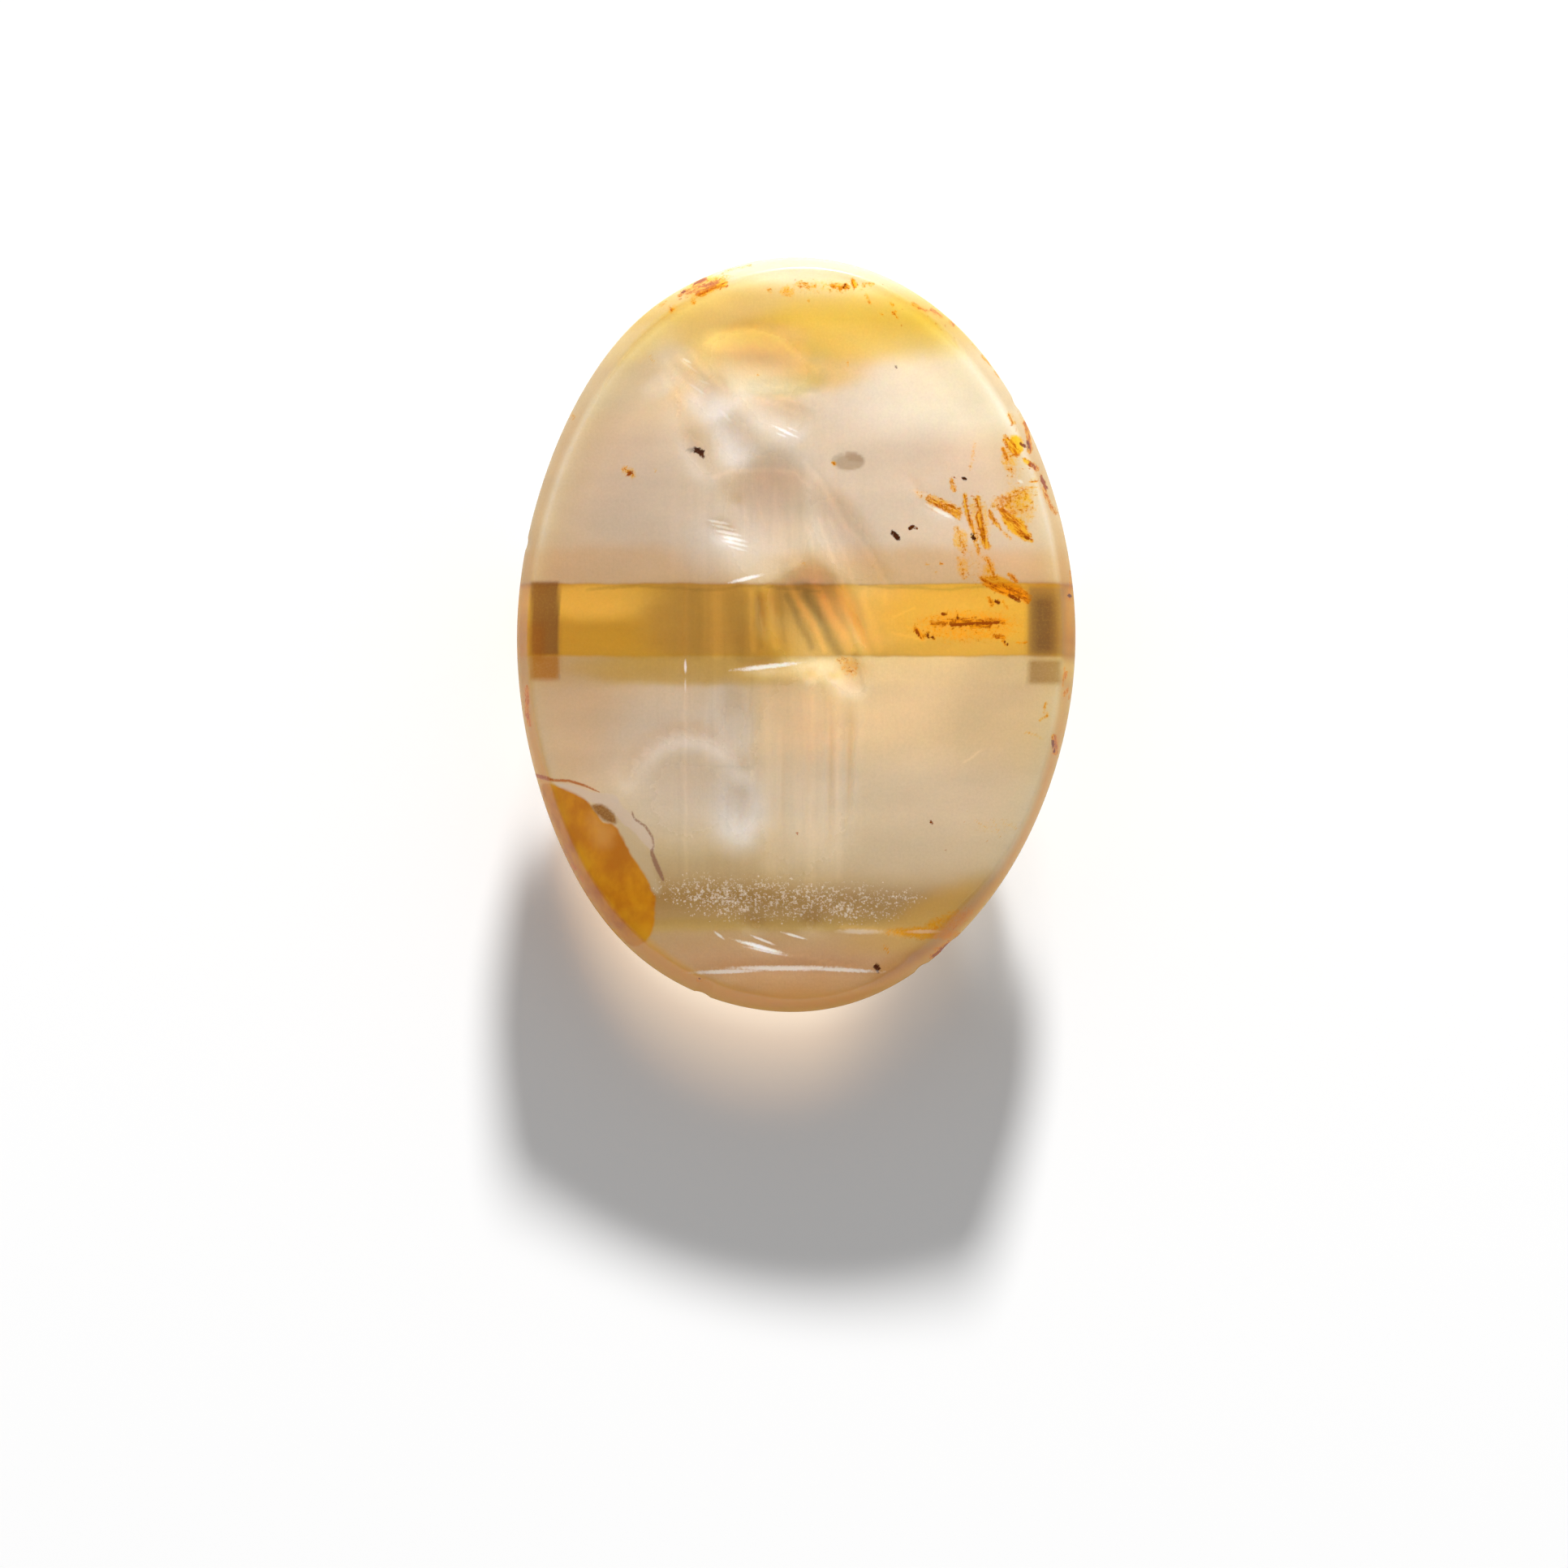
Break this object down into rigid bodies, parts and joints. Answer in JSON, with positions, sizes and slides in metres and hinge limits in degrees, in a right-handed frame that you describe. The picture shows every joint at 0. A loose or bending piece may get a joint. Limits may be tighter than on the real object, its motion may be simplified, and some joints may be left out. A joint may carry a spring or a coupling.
{
  "type": "agate ring stone",
  "caption": "Oval flat-topped intaglio ring stone of straight-banded honey and milky agate, engraved with a standing helmeted figure holding a spear above a shield.",
  "frame": {"origin": "centre of the flat back of the stone, under the middle of its oval outline, where it rests", "axes": "+Z out of the engraved face, +Y along the long axis from the figure's feet to its head, +X to the viewer's right of the engraved face"},
  "size_m": [0.011, 0.015, 0.0034],
  "materials": {
    "banded_agate": "polished, with straight honey, milky and smoky bands, worn in the engraving"
  },
  "bodies": {
    "root": {"ring_stone": "banded_agate"}
  },
  "joints": []
}
